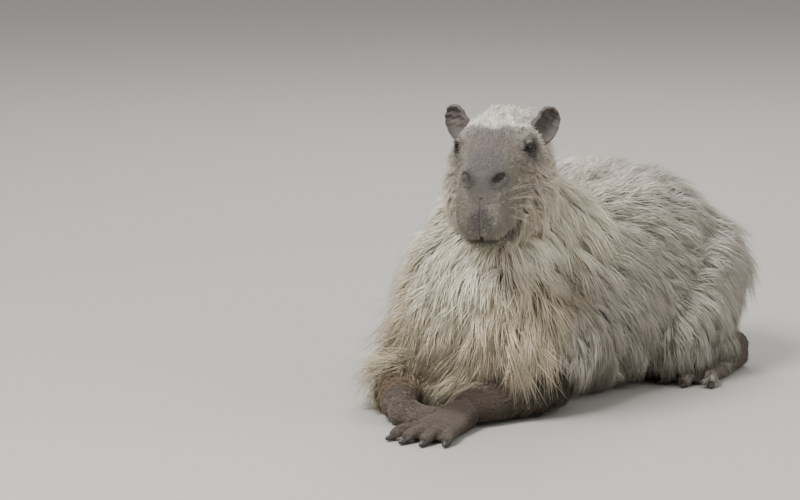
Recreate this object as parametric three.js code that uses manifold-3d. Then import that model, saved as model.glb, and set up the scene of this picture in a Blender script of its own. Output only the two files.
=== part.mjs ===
// An adult capybara lying on its chest with its head raised, life size, in millimetres.
// +Z is up and the floor is z = 0. The animal looks towards -Y, turned a little to its
// left, and its left side is +X. The origin is on the floor under the middle of the body.
import * as THREE from 'three';
import { LoftGeometry } from 'three/addons/geometries/LoftGeometry.js';
import { mergeVertices } from 'three/addons/utils/BufferGeometryUtils.js';
import Module from 'manifold-3d';

const wasm = await Module();
wasm.setup();

// Driving dimensions. Places are measured from the floor point under the throat.
const backHeight = 342;        // skin of the back over the loins
const trunkHalfWidth = 172;    // skin at the belly
const trunkCoat = 32;          // depth of the long hair on the back and flanks
const neckCoat = 36;
const thighCoat = 20;
const armCoat = 10;
const crownCoat = 16;
const jowlCoat = 26;
const coreShare = 0.5;         // the part of a coat's depth that the solid under its locks fills
const gap = 0.35;              // space kept between touching pieces
const lockRoom = 3;            // a twisted lock is kept clear by more of these spaces

const nosePlace = new THREE.Vector3(140, -200, 405);   // between the nostrils
const headYaw = THREE.MathUtils.degToRad(22);          // turned to its left
const headPitch = THREE.MathUtils.degToRad(4);         // nose down
const neckCutAt = 232;         // behind the nose, where head and neck part

const eyeRadius = 11;
const eyePlace = new THREE.Vector3(52, 130, 26);       // left eye, from the nose
const lidThickness = 2.6;
const earHeight = 60;
const earWidth = 46;
const earDepth = 26;

const forelegToeLengths = [58, 70, 68, 54];
const foldedToeLengths = [38, 44, 42, 36];
const hindToeLengths = [50, 60, 50];
const clawLength = 17;

const colours = {
  face: 0x7e756c, coat: 0xc4bcb0, ruff: 0xd6ccbc, leg: 0x7a6a55, foot: 0x5f554b,
  ear: 0x57524d, eye: 0x14100e, claw: 0x3a3430,
};

const left = 1;
const right = -1;
const up = new THREE.Vector3(0, 0, 1);
const vector = (x, y, z) => new THREE.Vector3(x, y, z);
const mirrored = (point, side) => vector(point.x * side, point.y, point.z);

// A closed mesh as a solid that can be joined and cut.
function solidOf(geometry) {
  const bare = new THREE.BufferGeometry();
  bare.setAttribute('position', geometry.getAttribute('position'));
  bare.setIndex(geometry.index);
  const merged = mergeVertices(bare, 1e-3);
  const triVerts = new Uint32Array(merged.index.array);
  const vertProperties = merged.attributes.position.array;
  const solid = new wasm.Manifold(new wasm.Mesh({ numProp: 3, vertProperties, triVerts }));
  if (solid.volume() > 0) return solid;
  for (let i = 0; i < triVerts.length; i += 3) {
    [triVerts[i + 1], triVerts[i + 2]] = [triVerts[i + 2], triVerts[i + 1]];
  }
  return new wasm.Manifold(new wasm.Mesh({ numProp: 3, vertProperties, triVerts }));
}

const joined = (solids) => wasm.Manifold.union(solids);

// The largest closed surface of a solid, without loose scraps.
function largest(solid) {
  const size = (piece) => Math.abs(piece.volume());
  return solid.decompose().reduce((best, piece) => (size(piece) > size(best) ? piece : best));
}

function materialOf(colour, roughness = 0.9) {
  return new THREE.MeshStandardMaterial({ color: colour, roughness, metalness: 0 });
}

function meshOf(name, solid, material) {
  const { vertProperties, triVerts, numProp, numVert } = solid.getMesh();
  const places = new Float32Array(numVert * 3);
  for (let i = 0; i < numVert; i += 1) {
    places.set(vertProperties.subarray(i * numProp, i * numProp + 3), i * 3);
  }
  const geometry = new THREE.BufferGeometry();
  geometry.setAttribute('position', new THREE.BufferAttribute(places, 3));
  geometry.setIndex(new THREE.BufferAttribute(new Uint32Array(triVerts), 1));
  geometry.computeVertexNormals();
  const mesh = new THREE.Mesh(geometry, material);
  mesh.name = name;
  return mesh;
}

// A form is a body part lofted through stations. A station gives the centre of a section,
// its half width across, its rise above the centre and its drop below it.
function formOf(stations, { power = 2.2, across = vector(1, 0, 0), domes = [40, 40] } = {}) {
  const centres = new THREE.CatmullRomCurve3(stations.map((s) => vector(...s.at)));
  const sizes = new THREE.CatmullRomCurve3(
    stations.map((s) => vector(s.half, s.rise, s.drop)), false, 'catmullrom', 0.5);
  return { centres, sizes, power, across, domes, count: stations.length };
}

// A point on a form. The run goes from 0 to 1 between the end stations, and on to -1 and 2
// over the rounded ends. The angle is 0 on the across side and a quarter turn at the top.
function pointOn(form, run, angle, grow = { side: 0, top: 0, bottom: 0 }) {
  const t = THREE.MathUtils.clamp(run, 0, 1);
  const centre = form.centres.getPoint(t);
  const along = form.centres.getTangent(t);
  const sideways = form.across.clone().addScaledVector(along, -form.across.dot(along)).normalize();
  const upward = new THREE.Vector3().crossVectors(sideways, along);
  const size = form.sizes.getPoint(t);
  let swell = 1;
  if (run < 0 || run > 1) {
    const end = run < 0 ? 0 : 1;
    const lean = (end === 0 ? -run : run - 1) * Math.PI / 2;
    const reach = (form.domes[end] + grow.top) * Math.sin(lean);
    centre.addScaledVector(along, end === 0 ? -reach : reach);
    swell = Math.cos(lean);
  }
  const shaped = (value) => Math.sign(value) * Math.abs(value) ** (2 / form.power);
  const cosine = shaped(Math.cos(angle));
  const sine = shaped(Math.sin(angle));
  const tall = sine >= 0 ? size.y + grow.top : size.z + grow.bottom;
  return centre.addScaledVector(sideways, cosine * (size.x + grow.side) * swell)
    .addScaledVector(upward, sine * tall * swell);
}

const evenly = (amount) => ({ side: amount, top: amount, bottom: amount });

function solidForm(form, { grow = evenly(0), sides = 20, steps = 8, domeSteps = 3,
  sculpt = null } = {}) {
  const runs = [];
  for (let i = domeSteps; i > 0; i -= 1) runs.push(-0.97 * i / domeSteps);
  for (let i = 0; i <= steps; i += 1) runs.push(i / steps);
  for (let i = 1; i <= domeSteps; i += 1) runs.push(1 + 0.97 * i / domeSteps);
  const sections = runs.map((run) => {
    const points = [];
    for (let j = 0; j < sides; j += 1) {
      points.push(pointOn(form, run, -2 * Math.PI * j / sides, grow));
    }
    return points;
  });
  const geometry = new LoftGeometry(sections, { capStart: true, capEnd: true });
  const places = geometry.getAttribute('position');
  for (let i = 0; sculpt && i < places.count; i += 1) {
    const { x, y, z } = sculpt(vector(0, 0, 0).fromBufferAttribute(places, i));
    places.setXYZ(i, x, y, z);
  }
  return solidOf(geometry);
}

// A ball of three radii, turned to point its long axis along a direction where one is given.
function ellipsoid(centre, radii, { turn = null, rings = 5 } = {}) {
  const geometry = new THREE.SphereGeometry(1, rings * 2, rings);
  geometry.scale(radii.x, radii.y, radii.z);
  if (turn) geometry.applyQuaternion(turn);
  geometry.translate(centre.x, centre.y, centre.z);
  return solidOf(geometry);
}

function block(low, high) {
  const size = high.clone().sub(low);
  const middle = high.clone().add(low).multiplyScalar(0.5);
  const geometry = new THREE.BoxGeometry(size.x, size.y, size.z);
  geometry.translate(middle.x, middle.y, middle.z);
  return solidOf(geometry);
}

// The same draws on every run.
function seeded(seed) {
  let state = seed;
  return () => {
    state = (state + 0x6d2b79f5) | 0;
    let mixed = Math.imul(state ^ (state >>> 15), 1 | state);
    mixed = (mixed + Math.imul(mixed ^ (mixed >>> 7), 61 | mixed)) ^ mixed;
    return ((mixed ^ (mixed >>> 14)) >>> 0) / 4294967296;
  };
}

// The way over a form's surface at a place: how its run and angle change along a direction.
function steer(form, run, angle, grow, direction) {
  const step = 0.01;
  const base = pointOn(form, run, angle, grow);
  const byRun = pointOn(form, run + step, angle, grow).sub(base).divideScalar(step);
  const byAngle = pointOn(form, run, angle + step, grow).sub(base).divideScalar(step);
  const normal = new THREE.Vector3().crossVectors(byRun, byAngle).normalize();
  const flat = direction.clone().addScaledVector(normal, -direction.dot(normal)).normalize();
  const a = byRun.dot(byRun);
  const b = byRun.dot(byAngle);
  const c = byAngle.dot(byAngle);
  const share = 1 / (a * c - b * b);
  const u = byRun.dot(flat);
  const v = byAngle.dot(flat);
  return { base, normal, runStep: (c * u - b * v) * share, angleStep: (a * v - b * u) * share };
}

// Shares of a lock's length where its sections stand, with their width and thickness there.
const lockSections = [
  { at: 0, wide: 0.6, thick: 1 }, { at: 0.38, wide: 1, thick: 0.9 },
  { at: 0.74, wide: 0.64, thick: 0.6 }, { at: 1, wide: 0.07, thick: 0.22 },
];

// A flat lock of hair that leaves a form at a root, bends along its lie and tapers to a tip.
function lockOn(form, grow, { run, angle, lie, length, width, thickness, sink, rise, bend }, extra) {
  const strides = 12;
  const path = [];
  const heading = lie.clone().normalize();
  let here = { run, angle };
  for (let i = 0; i <= strides; i += 1) {
    const { base, normal, runStep, angleStep } = steer(form, here.run, here.angle, grow, heading);
    if (i > 0) heading.add(base.clone().sub(path[i - 1].base).normalize()).normalize();
    if (i > 0 && normal.dot(path[i - 1].normal) < 0) normal.negate();
    path.push({ base, normal });
    const stride = length / strides;
    here = { run: here.run + runStep * stride, angle: here.angle + angleStep * stride };
  }
  const sections = lockSections.map(({ at, wide, thick }) => {
    const i = Math.round(at * strides);
    const { base, normal } = path[i];
    const along = path[Math.min(i + 1, strides)].base.clone()
      .sub(path[Math.max(i - 1, 0)].base).normalize();
    const aside = new THREE.Vector3().crossVectors(normal, along).normalize();
    const height = -sink + (sink + rise) * (1 - (1 - at) ** 1.7);
    const centre = base.clone().addScaledVector(normal, height)
      .addScaledVector(aside, bend * at * at).addScaledVector(along, (2 * at - 1) * extra * 2);
    const slope = thickness * thick / (width * wide / 2);
    const steepness = Math.hypot(1, slope);
    const half = width * wide / 2 + extra * (1 + steepness) / slope;
    const ridge = thickness * thick / 2 + extra * steepness;
    const sole = thickness * thick / 2 + extra;
    return [
      centre.clone().addScaledVector(aside, half).addScaledVector(normal, -sole),
      centre.clone().addScaledVector(normal, ridge),
      centre.clone().addScaledVector(aside, -half).addScaledVector(normal, -sole),
    ];
  });
  return solidOf(new LoftGeometry(sections, { capStart: true, capEnd: true }));
}

// Rows of locks over a stretch of a form, staggered like tiles and each a little different.
// A lock that would lie inside another solid, or is rooted too low, isn't grown.
function coatOf(form, grow, rows, { buriedIn = null, lowest = 0 }, extra) {
  const locks = [];
  for (const row of rows) {
    const draw = seeded(row.seed);
    const vary = (amount) => (draw() * 2 - 1) * amount;
    const [from, to] = row.angles;
    const count = row.count;
    for (let i = 0; i < count; i += 1) {
      const place = (i + 0.5 + vary(0.16)) / count;
      const angle = from + (to - from) * place;
      const run = row.run + vary(0.012);
      const size = 1 + vary(0.14);
      const root = pointOn(form, run, angle, grow);
      const lie = row.lie(root, angle).add(vector(vary(0.12), vary(0.12), vary(0.12)));
      const bend = vary(row.width * 0.3);
      const width = row.width * (1 + vary(0.1));
      const lock = { ...row, run, angle, lie, bend, width, length: row.length * size };
      if (root.z < lowest || (buriedIn && isBuried(lockOn(form, grow, lock, 0), buriedIn))) continue;
      locks.push(lockOn(form, grow, lock, extra * lockRoom));
    }
  }
  return locks;
}

// Whether more than the root end of a lock lies inside another solid.
function isBuried(lock, solid) {
  return lock.intersect(solid).volume() > 0.5 * lock.volume();
}

const floorBlock = block(vector(-2000, -2000, -500), vector(2000, 2000, 0));
const onFloor = (solid) => solid.subtract(floorBlock);

const headTurn = new THREE.Quaternion().setFromAxisAngle(up, headYaw)
  .multiply(new THREE.Quaternion().setFromAxisAngle(vector(1, 0, 0), headPitch));
const headMatrix = new THREE.Matrix4().compose(nosePlace, headTurn, vector(1, 1, 1));
const placedByHead = (solid) => solid.transform(headMatrix.toArray());

// Head frame: x to the animal's left, y back from the nose, z up from the nostrils.
const headForm = formOf([
  [3, 31, 9, -90], [14, 38, 18, -102], [34, 41, 24, -110], [62, 43.5, 31, -113],
  [98, 49, 41, -114], [132, 57, 51, -114], [166, 64, 58, -114], [200, 67, 60, -112],
  [236, 66, 57, -106], [266, 60, 48, -96],
].map(([back, half, top, bottom]) => ({
  at: [0, back, (top + bottom) / 2], half, rise: (top - bottom) / 2, drop: (top - bottom) / 2,
})), { power: 2.6, domes: [9, 30] });

// Swellings of the head: where each is highest, how far it reaches and how far it stands out.
const headSwellings = [
  { at: [34, 168, -52], reach: [34, 62, 46], out: 9 },    // cheek
  { at: [50, 134, 40], reach: [22, 34, 16], out: 7 },     // brow
  { at: [66, 96, 0], reach: [24, 26, 20], out: -5 },      // hollow before the eye
  { at: [22, 4, -56], reach: [20, 40, 26], out: 5 },    // upper lip
  { at: [27, 2, 6], reach: [15, 24, 16], out: 4 },      // rim of the nostril
  { at: [0, 8, -14], reach: [12, 30, 26], out: -2 },       // dip between the nostrils
  { at: [46, 16, -106], reach: [26, 44, 20], out: -9 },   // taper to the chin
  { at: [58, 134, 24], reach: [30, 40, 26], out: 9 },     // socket of the eye
];

// Moves a point of the head's surface in or out by the swellings near it.
function sculpted(point) {
  const heart = vector(point.x * 0.6, THREE.MathUtils.clamp(point.y, 30, 230), -38 + (point.z + 38) * 0.6);
  const outward = point.clone().sub(heart).normalize();
  let out = 0;
  for (const { at, reach, out: amount } of headSwellings) {
    const offset = vector(Math.abs(point.x) - at[0], point.y - at[1], point.z - at[2]);
    out += amount * Math.exp(-offset.divide(vector(...reach)).lengthSq());
  }
  return point.clone().addScaledVector(outward, out);
}

function makeHead(extra) {
  const lids = [left, right].map((side) => ellipsoid(mirrored(eyePlace, side),
    vector(1, 1, 1).multiplyScalar(eyeRadius + lidThickness + extra), { rings: 6 }));
  const shape = solidForm(headForm, { grow: evenly(extra), sides: 22, steps: 14, domeSteps: 3,
    sculpt: sculpted });
  const cuts = [mouthSlot(), philtrum()];
  for (const side of [left, right]) {
    cuts.push(nostrilPit(side), eyeOpening(side));
  }
  return joined([shape, ...lids]).subtract(joined(cuts));
}

const behindHead = (extra) => block(vector(-300, neckCutAt + extra, -400), vector(300, 900, 400));

// A thin band bent round the front of the muzzle, which opens the line of the mouth.
function mouthSlot() {
  const outer = { half: 60, front: -20 };
  const inner = { half: 27, front: 30 };
  const corner = 84;
  const shape = new THREE.Shape();
  shape.moveTo(-outer.half, corner);
  shape.quadraticCurveTo(-outer.half, outer.front, 0, outer.front);
  shape.quadraticCurveTo(outer.half, outer.front, outer.half, corner);
  shape.lineTo(inner.half, corner);
  shape.quadraticCurveTo(inner.half, inner.front, 0, inner.front);
  shape.quadraticCurveTo(-inner.half, inner.front, -inner.half, corner);
  const opening = 5;
  const geometry = new THREE.ExtrudeGeometry(shape, {
    depth: opening, bevelEnabled: false, curveSegments: 5,
  });
  const rise = THREE.MathUtils.degToRad(10);
  geometry.rotateX(rise);
  geometry.translate(0, 0, -90);
  return solidOf(geometry);
}

function philtrum() {
  const points = [vector(0, -4, -8), vector(0, -7, -30), vector(0, -7, -55), vector(0, 2, -90)];
  const shape = new THREE.Shape().absellipse(0, 0, 5, 2.2, 0, 2 * Math.PI);
  return solidOf(new THREE.ExtrudeGeometry(shape, {
    steps: 6, curveSegments: 3, extrudePath: new THREE.CatmullRomCurve3(points),
  }));
}

function nostrilPit(side) {
  const inward = vector(-0.35 * side, 0.9, -0.25).normalize();
  const turn = new THREE.Quaternion().setFromUnitVectors(vector(0, 1, 0), inward);
  return ellipsoid(vector(29 * side, 2, 1), vector(5, 16, 8), { turn, rings: 5 });
}

function eyeOpening(side) {
  const outward = vector(0.86 * side, -0.48, 0.1).normalize();
  const turn = new THREE.Quaternion().setFromUnitVectors(vector(0, 1, 0), outward);
  const geometry = new THREE.CylinderGeometry(1, 1, 30, 14);
  geometry.scale(10, 1, 6.6);
  geometry.translate(0, 15, 0);
  geometry.applyQuaternion(turn);
  const centre = mirrored(eyePlace, side);
  geometry.translate(centre.x, centre.y, centre.z);
  return solidOf(geometry);
}

function makeEye(side, extra) {
  return ellipsoid(mirrored(eyePlace, side), vector(1, 1, 1).multiplyScalar(eyeRadius + extra),
    { rings: 7 });
}

// The ear is a cupped leaf that stands on the upper back corner of the head.
function makeEar(side, extra) {
  const outer = ellipsoid(vector(0, 0, earHeight * 0.44),
    vector(earWidth / 2, earDepth / 2, earHeight * 0.56).addScalar(extra), { rings: 7 });
  const cup = ellipsoid(vector(1, -9, earHeight * 0.5),
    vector(earWidth / 2 - 3.5, earDepth / 2 + 1, earHeight * 0.44).addScalar(-extra),
    { rings: 7 });
  const facing = side * 0.45;
  const turn = new THREE.Quaternion()
    .setFromAxisAngle(vector(0, 1, 0), 0.42 * side)
    .multiply(new THREE.Quaternion().setFromAxisAngle(vector(1, 0, 0), -0.2))
    .multiply(new THREE.Quaternion().setFromAxisAngle(up, facing));
  const place = new THREE.Matrix4().compose(vector(58 * side, 204, 22), turn, vector(1, 1, 1));
  return outer.subtract(cup).transform(place.toArray());
}

const neckForm = formOf([
  { at: [58, -6, 384], half: 46, rise: 48, drop: 60 },
  { at: [46, 30, 356], half: 66, rise: 70, drop: 92 },
  { at: [26, 84, 308], half: 98, rise: 88, drop: 124 },
  { at: [8, 160, 246], half: 128, rise: 100, drop: 136 },
], { domes: [16, 60] });

const trunkForm = formOf([
  [-20, 10, 262, 60, 90], [20, 8, 292, 20, 122], [80, 2, 312, 2, 144], [170, 0, 326, -6, 156],
  [270, 0, 338, -8, 166], [370, 0, backHeight, -8, trunkHalfWidth],
  [460, 0, backHeight - 12, -8, trunkHalfWidth - 4], [540, 0, 300, -6, 154],
  [604, 0, 246, 6, 120],
].map(([back, aside, top, bottom, half]) => ({
  at: [aside, back, (top + bottom) / 2], half, rise: (top - bottom) / 2, drop: (top - bottom) / 2,
})), { power: 2.2, domes: [36, 56] });

// The breast hangs from the throat almost to the floor, between the forelegs.
const breastForm = formOf([
  { at: [44, 22, 316], half: 76, rise: 70, drop: 60 },
  { at: [28, 16, 244], half: 106, rise: 80, drop: 74 },
  { at: [12, 10, 160], half: 124, rise: 80, drop: 80 },
  { at: [2, 4, 60], half: 126, rise: 80, drop: 78 },
], { domes: [26, 40] });

// The upper arm and forearm in one bent form, from the shoulder to the wrist.
const armForms = {
  left: formOf([
    { at: [96, 128, 186], half: 48, rise: 70, drop: 70 },
    { at: [118, 84, 116], half: 46, rise: 58, drop: 58 },
    { at: [122, 36, 58], half: 42, rise: 46, drop: 46 },
    { at: [98, -40, 42], half: 33, rise: 33, drop: 33 },
    { at: [72, -124, 30], half: 27, rise: 24, drop: 24 },
  ], { domes: [50, 18] }),
  right: formOf([
    { at: [-96, 124, 186], half: 48, rise: 70, drop: 70 },
    { at: [-112, 76, 116], half: 46, rise: 58, drop: 58 },
    { at: [-114, 16, 58], half: 42, rise: 46, drop: 46 },
    { at: [-84, -74, 42], half: 33, rise: 33, drop: 33 },
    { at: [-40, -150, 32], half: 27, rise: 26, drop: 26 },
  ], { domes: [50, 22] }),
};

const thighForms = { left: thighForm(left, 0), right: thighForm(right, 14) };

// Thigh, shank and heel fold into one mass beside the loins. The shift moves a leg back.
function thighForm(side, shift) {
  return {
    thigh: formOf([
      { at: [92 * side, 556 + shift, 164], half: 84, rise: 104, drop: 104 },
      { at: [130 * side, 462 + shift, 126], half: 74, rise: 104, drop: 104 },
      { at: [152 * side, 376 + shift, 78], half: 52, rise: 60, drop: 60 },
    ], { domes: [60, 40] }),
    shank: formOf([
      { at: [160 * side, 386 + shift, 62], half: 44, rise: 44, drop: 44 },
      { at: [166 * side, 480 + shift, 50], half: 38, rise: 40, drop: 40 },
      { at: [168 * side, 574 + shift, 34], half: 26, rise: 26, drop: 26 },
    ], { domes: [30, 22] }),
  };
}

// A foot lies flat: a sole that widens from wrist or heel to the toes, webbed toes and claws.
function footOf({ from, to, rootHalf, ballHalf, rootHigh, ballHigh, toeLengths, spread, fan }, extra) {
  const heading = to.clone().sub(from).setZ(0).normalize();
  const sideways = vector(-heading.y, heading.x, 0);
  const sole = formOf([
    { at: [from.x, from.y, rootHigh * 0.5], half: rootHalf, rise: rootHigh * 0.5, drop: rootHigh * 0.5 },
    { at: from.clone().lerp(to, 0.5).setZ(ballHigh * 0.55).toArray(),
      half: (rootHalf + ballHalf) * 0.5, rise: (rootHigh + ballHigh) * 0.25, drop: ballHigh * 0.6 },
    { at: [to.x, to.y, ballHigh * 0.45], half: ballHalf, rise: ballHigh * 0.5, drop: ballHigh * 0.5 },
  ], { across: sideways, domes: [rootHalf * 0.7, ballHalf * 0.4] });
  const pieces = [solidForm(sole, { grow: evenly(extra), sides: 8, steps: 2, domeSteps: 1 })];
  const claws = [];
  const tips = toeLengths.map((length, i) => {
    const place = i / (toeLengths.length - 1) - 0.5;
    const turn = -fan * place * 2;
    const direction = heading.clone().applyAxisAngle(up, turn);
    const root = to.clone().addScaledVector(sideways, -place * spread).setZ(ballHigh * 0.42);
    return { root, direction, tip: root.clone().addScaledVector(direction, length).setZ(9), length };
  });
  for (const { root, direction, tip, length } of tips) {
    const toe = formOf([
      { at: root.clone().addScaledVector(direction, -12).toArray(), half: 11, rise: 10, drop: 10 },
      { at: root.clone().addScaledVector(direction, length * 0.5).setZ(15).toArray(), half: 11,
        rise: 9, drop: 11 },
      { at: tip.clone().addScaledVector(direction, -clawLength * 0.5).setZ(10).toArray(), half: 9.5,
        rise: 8, drop: 10 },
    ], { across: vector(-direction.y, direction.x, 0), domes: [4, 5] });
    pieces.push(solidForm(toe, { grow: evenly(extra), sides: 6, steps: 2, domeSteps: 1 }));
    claws.push(clawOf(tip, direction, extra));
  }
  for (let i = 0; i + 1 < tips.length; i += 1) pieces.push(webBetween(tips[i], tips[i + 1], extra));
  return { flesh: joined(pieces), claws };
}

// A blunt nail, like a small hoof, over the end of a toe.
function clawOf(tip, direction, extra) {
  const claw = formOf([
    { at: tip.clone().addScaledVector(direction, -clawLength * 0.45).setZ(9).toArray(), half: 7.5,
      rise: 8.5, drop: 5 },
    { at: tip.clone().addScaledVector(direction, clawLength * 0.1).setZ(7).toArray(), half: 6.4,
      rise: 5.6, drop: 5 },
    { at: tip.clone().addScaledVector(direction, clawLength * 0.5).setZ(4.6).toArray(), half: 3.6,
      rise: 3, drop: 3.4 },
  ], { across: vector(-direction.y, direction.x, 0), domes: [1, 2.4] });
  return solidForm(claw, { grow: evenly(extra), sides: 6, steps: 1, domeSteps: 1 });
}

// The web is a thin plate between two toes, out to half their length.
function webBetween(a, b, extra) {
  const reach = 0.62;
  const middleReach = 0.42;
  const thickness = 5;
  const height = 7;
  const at = ({ root, direction, length }, share) => root.clone()
    .addScaledVector(direction, length * share);
  const corners = [at(a, -0.3), at(a, reach), at(a, reach).lerp(at(b, reach), 0.5)
    .lerp(a.root.clone().lerp(b.root, 0.5), 1 - reach - middleReach * 0.4), at(b, reach), at(b, -0.3)];
  const shape = new THREE.Shape(corners.map((p) => new THREE.Vector2(p.x, p.y)));
  const geometry = new THREE.ExtrudeGeometry(shape, {
    depth: thickness + 2 * extra, bevelEnabled: false,
  });
  geometry.translate(0, 0, height - extra);
  return solidOf(geometry);
}

const feet = {
  forefoot_left: {
    from: vector(72, -140, 0), to: vector(76, -232, 0), rootHalf: 25, ballHalf: 40,
    rootHigh: 46, ballHigh: 32, toeLengths: forelegToeLengths, spread: 66, fan: 0.3,
  },
  forefoot_right: {
    from: vector(-30, -162, 0), to: vector(26, -142, 0), rootHalf: 25, ballHalf: 32,
    rootHigh: 48, ballHigh: 28, toeLengths: foldedToeLengths, spread: 46, fan: 0.2,
  },
  hindfoot_left: {
    from: vector(172, 572, 0), to: vector(190, 410, 0), rootHalf: 24, ballHalf: 36,
    rootHigh: 40, ballHigh: 28, toeLengths: hindToeLengths, spread: 52, fan: 0.34,
  },
  hindfoot_right: {
    from: vector(-172, 586, 0), to: vector(-190, 424, 0), rootHalf: 24, ballHalf: 36,
    rootHigh: 40, ballHigh: 28, toeLengths: hindToeLengths, spread: 52, fan: 0.34,
  },
};

// Each piece gives way to those named before it, with the gap between them.
const animal = new THREE.Group();
const pieces = [];

function add(name, make, material) {
  const kept = pieces.reduce((rest, piece) => rest.subtract(piece), onFloor(make(0)));
  pieces.push(make(gap));
  animal.add(meshOf(name, largest(kept), material));
}

const sides = { left, right };
for (const [name, side] of Object.entries(sides)) {
  add('eye_' + name, (extra) => placedByHead(makeEye(side, extra)),
    materialOf(colours.eye, 0.1));
}
for (const [name, side] of Object.entries(sides)) {
  add('ear_' + name, (extra) => placedByHead(makeEar(side, extra)), materialOf(colours.ear));
}

// Hair of the crown lies back over the nape, and that of the jowls back and down.
const crownRows = [
  { run: 0.62, angles: [0.7, 2.44], count: 4 }, { run: 0.86, angles: [0.5, 2.64], count: 5 },
].map((row, i) => ({ ...row, seed: 11 + i, length: 74, width: 40, thickness: 7, sink: 5,
  rise: crownCoat, lie: () => vector(0, 1, 0.1) }));
const jowlRows = [
  { run: 0.72, angles: [-0.95, 0.05], count: 3 }, { run: 0.94, angles: [-1.15, 0.1], count: 3 },
].flatMap(({ run, angles: [from, to], count }, i) => [
  { run, angles: [from, to], count, seed: 21 + i },
  { run, angles: [Math.PI - from, Math.PI - to], count, seed: 31 + i },
]).map((row) => ({ ...row, length: 84, width: 46, thickness: 8, sink: 5, rise: jowlCoat * 0.8,
  lie: () => vector(0, 1, -0.55) }));

add('head', (extra) => placedByHead(joined([
  makeHead(extra).subtract(behindHead(extra)),
  ...coatOf(headForm, evenly(0), [...crownRows, ...jowlRows], {}, extra),
])), materialOf(colours.face));
for (const [name, foot] of Object.entries(feet)) {
  foot.toeLengths.forEach((length, i) => {
    add(`${name.replace('foot', 'claw')}_${i + 1}`, (extra) => footOf(foot, extra).claws[i],
      materialOf(colours.claw, 0.5));
  });
}
for (const [name, foot] of Object.entries(feet)) {
  add(name, (extra) => footOf(foot, extra).flesh, materialOf(colours.foot));
}

const neckBase = block(vector(-900, 0, -900), vector(900, 900, 900));
const neckAxis = neckForm.centres.getTangent(0.62);
const neckEnd = neckForm.centres.getPoint(0.62);
const cutTurn = new THREE.Quaternion().setFromUnitVectors(vector(0, 1, 0), neckAxis);
const cutPlace = (shift) => new THREE.Matrix4().compose(
  neckEnd.clone().addScaledVector(neckAxis, shift), cutTurn, vector(1, 1, 1)).toArray();

// The coat falls from the neck over the shoulders and breast, and sweeps back on the trunk.
const neckCore = evenly(neckCoat * coreShare);
const trunkCore = { side: trunkCoat * coreShare, top: trunkCoat * coreShare, bottom: 0 };
const neckRows = [
  { run: 0.2, angles: [-2.4, 4.3], count: 7 }, { run: 0.5, angles: [-2.5, 4.4], count: 8 },
].map((row, i) => ({ ...row, seed: 41 + i, length: 132, width: 88, thickness: 12, sink: 8,
  rise: neckCoat * (1 - coreShare) + 4,
  lie: (root, angle) => vector(-0.1, 0.35 + 0.65 * Math.max(0, Math.sin(angle)),
    -0.9 + 0.3 * Math.sin(angle)) }));
const breastRows = [-0.3, 0.16, 0.46, 0.74].map((run, i) => ({
  run, angles: [-Math.PI - 0.1, 0.1], count: i % 2 ? 6 : 5, seed: 51 + i, length: 118, width: 92,
  thickness: 12, sink: 8, rise: neckCoat * (1 - coreShare) + 3, lie: () => vector(-0.2, -0.1, -1),
}));
const trunkRows = [0.2, 0.4, 0.6, 0.8, 1.0].map((run, i) => ({
  run, angles: [-0.4, Math.PI + 0.4], count: i % 2 ? 8 : 7, seed: 61 + i, length: 172,
  width: 108, thickness: 12, sink: 8, rise: trunkCoat * (1 - coreShare) + (run > 0.8 ? 12 : 3),
  lie: (root, angle) => vector(0, 1 - Math.max(0, run - 0.8) * 2,
    -0.5 * Math.abs(Math.cos(angle)) - Math.max(0, run - 0.8) * 2.4),
}));
const rumpRow = { run: 1.36, angles: [0, Math.PI], count: 5, seed: 90, length: 110,
  width: 92, thickness: 12, sink: 8, rise: trunkCoat * (1 - coreShare) + 10,
  lie: () => vector(0, 0.1, -1) };

const legsAndArms = joined([
  solidForm(thighForms.left.thigh), solidForm(thighForms.right.thigh),
  solidForm(armForms.left), solidForm(armForms.right),
]);

const trunk = solidForm(trunkForm, { grow: trunkCore, sides: 20, steps: 8 });
const breast = solidForm(breastForm, { grow: neckCore, sides: 16, steps: 4, domeSteps: 2 });

for (const name of ['left', 'right']) {
  add('foreleg_' + name, (extra) => solidForm(armForms[name],
    { grow: evenly(armCoat + extra), sides: 10, steps: 6, domeSteps: 2 }), materialOf(colours.leg));
}
for (const [name, side] of Object.entries(sides)) {
  const { thigh, shank } = thighForms[name];
  const core = evenly(thighCoat * coreShare);
  const outside = side === left ? [-0.5, 1.1] : [Math.PI + 0.5, Math.PI - 1.1];
  const rows = [0.34, 0.66].map((run, i) => ({
    run, angles: outside, count: 2, seed: 101 + i, length: 120, width: 80, thickness: 10,
    sink: 6, rise: thighCoat * (1 - coreShare) + 3, lie: () => vector(0, 0.55, -0.85),
  }));
  add('hindleg_' + name, (extra) => joined([
    solidForm(thigh, { grow: evenly(core.top + extra), sides: 14, steps: 4, domeSteps: 2 }),
    solidForm(shank, { grow: evenly(thighCoat * 0.4 + extra), sides: 10, steps: 3, domeSteps: 1 }),
    ...coatOf(thigh, core, rows, { buriedIn: trunk }, extra),
  ]), materialOf(colours.leg));
}

add('torso', (extra) => {
  const neckPart = solidForm(neckForm, { grow: evenly(neckCore.top + extra), sides: 18, steps: 5,
    domeSteps: 2 });
  const grow = { side: trunkCore.side + extra, top: trunkCore.top + extra, bottom: 0 };
  return joined([
    solidForm(trunkForm, { grow, sides: 20, steps: 8 }),
    solidForm(breastForm, { grow: evenly(neckCore.top + extra), sides: 16, steps: 4, domeSteps: 2 }),
    neckPart.intersect(neckBase.transform(cutPlace(-extra))),
    ...coatOf(trunkForm, trunkCore, [...trunkRows, rumpRow], { buriedIn: legsAndArms }, extra),
    ...coatOf(breastForm, neckCore, breastRows, {}, extra),
  ]);
}, materialOf(colours.coat));

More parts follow.
